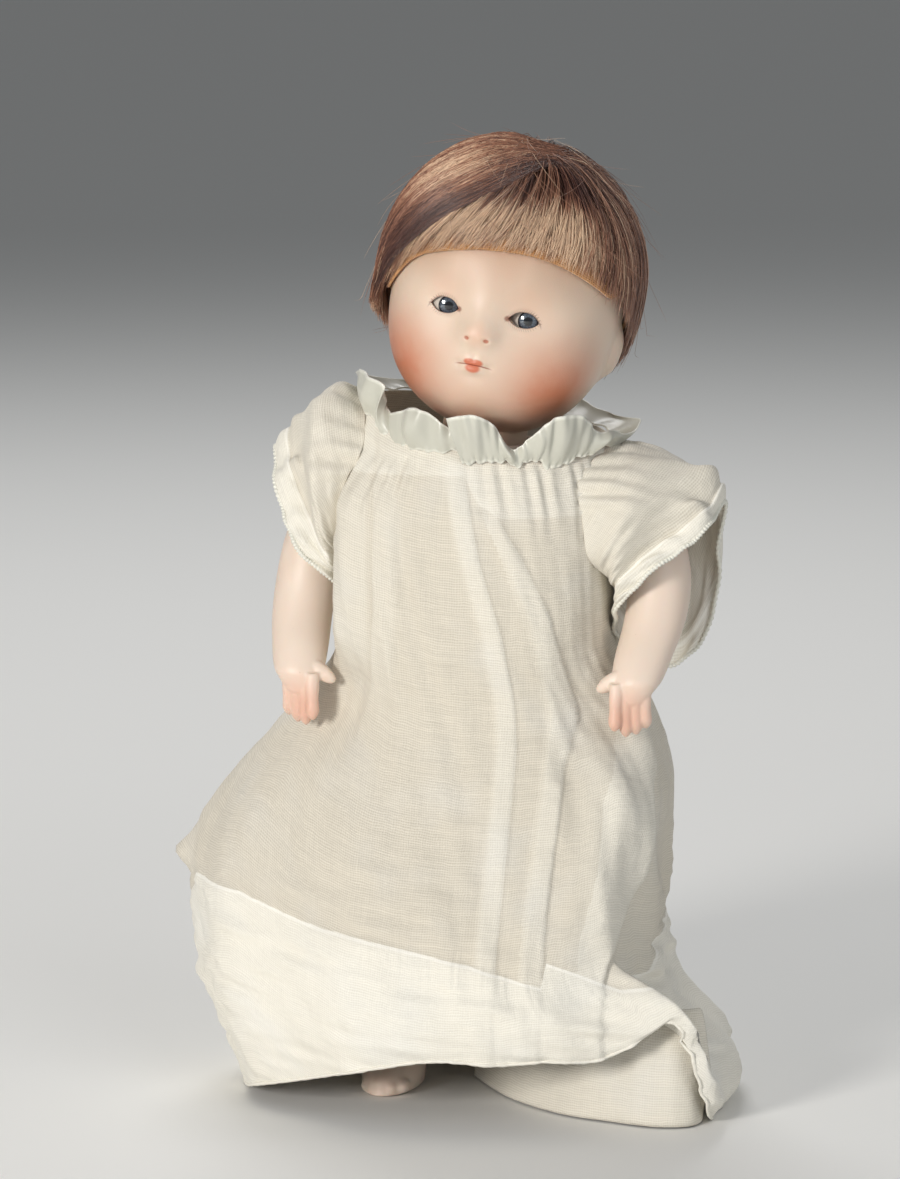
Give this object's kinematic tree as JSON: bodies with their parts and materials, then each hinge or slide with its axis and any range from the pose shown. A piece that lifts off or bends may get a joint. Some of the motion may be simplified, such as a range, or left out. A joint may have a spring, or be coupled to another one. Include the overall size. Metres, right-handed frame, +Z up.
{
  "type": "bisque baby doll",
  "caption": "Standing jointed bisque baby doll with a swivel head, sleeping glass eyes, mohair wig and a long sheer lawn gown with a ribbon ruffle.",
  "frame": {"origin": "middle of the doll's footprint, on the floor it stands on", "axes": "+Z up, the doll faces -Y, and its own left is +X"},
  "size_m": [0.0904, 0.0654, 0.1537],
  "materials": {
    "bisque": "satin",
    "kid": "matte",
    "wood": "matte",
    "wire": "satin",
    "elastic": "matte",
    "eye_glass": "gloss",
    "lead": "matte",
    "plaster": "matte",
    "card": "matte",
    "wig_cap": "matte",
    "mohair": "satin",
    "lawn": "matte",
    "satin": "satin",
    "button": "gloss"
  },
  "bodies": {
    "torso": {"torso": "bisque", "arm_elastic": "elastic", "leg_elastic": "elastic", "gown": "lawn", "neck_ruffle": "satin", "left_sleeve": "lawn", "right_sleeve": "lawn", "left_sleeve_binding": "satin", "right_sleeve_binding": "satin", "back_button_upper": "button", "back_button_lower": "button"},
    "neck_lining": {"neck_lining": "kid"},
    "neck_hook": {"neck_hook": "wire"},
    "head": {"head": "bisque", "neck_plug": "wood", "crown_pate": "card", "wig_cap": "wig_cap", "wig_hair": "mohair", "left_eye_bed": "plaster", "right_eye_bed": "plaster"},
    "eyes": {"left_eye": "eye_glass", "right_eye": "eye_glass", "eye_rocker": "wire", "eye_weight": "lead"},
    "left_arm": {"left_arm": "bisque", "left_arm_hook": "wire"},
    "right_arm": {"right_arm": "bisque", "right_arm_hook": "wire"},
    "left_leg": {"left_leg": "bisque", "left_leg_hook": "wire"},
    "right_leg": {"right_leg": "bisque", "right_leg_hook": "wire"}
  },
  "joints": [
    {"name": "neck_lean", "type": "hinge", "parent": "torso", "child": "neck_lining", "pos_m": [0.00312, 0.00171, 0.1068], "axis": [0, 1, 0], "range_deg": [-8, 3]},
    {"name": "neck_nod", "type": "hinge", "parent": "neck_lining", "child": "neck_hook", "pos_m": [0.00312, 0.00171, 0.1068], "axis": [0.9848, 0, -0.1736], "range_deg": [-5, 4]},
    {"name": "neck_turn", "type": "hinge", "parent": "neck_hook", "child": "head", "pos_m": [0.00312, 0.00171, 0.1068], "axis": [0.1736, 0, 0.9848], "range_deg": [-60, 60]},
    {"name": "sleep_eyes", "type": "hinge", "parent": "head", "child": "eyes", "pos_m": [0.00667, -0.01104, 0.12689], "axis": [0.9848, 0, -0.1736], "range_deg": [0, 55]},
    {"name": "left_shoulder", "type": "hinge", "parent": "torso", "child": "left_arm", "pos_m": [0.02112, 0.00171, 0.094], "axis": [-1, 0, 0], "range_deg": [0, 105], "deforming": ["left_sleeve", "left_sleeve_binding", "arm_elastic"]},
    {"name": "right_shoulder", "type": "hinge", "parent": "torso", "child": "right_arm", "pos_m": [-0.01488, 0.00171, 0.094], "axis": [-1, 0, 0], "range_deg": [0, 105], "deforming": ["right_sleeve", "right_sleeve_binding"]},
    {"name": "left_hip", "type": "hinge", "parent": "torso", "child": "left_leg", "pos_m": [0.01127, 0.00171, 0.055], "axis": [-1, 0, 0], "range_deg": [-20, 18], "deforming": ["leg_elastic"]},
    {"name": "right_hip", "type": "hinge", "parent": "torso", "child": "right_leg", "pos_m": [-0.00503, 0.00171, 0.055], "axis": [-1, 0, 0], "range_deg": [-20, 18]}
  ]
}
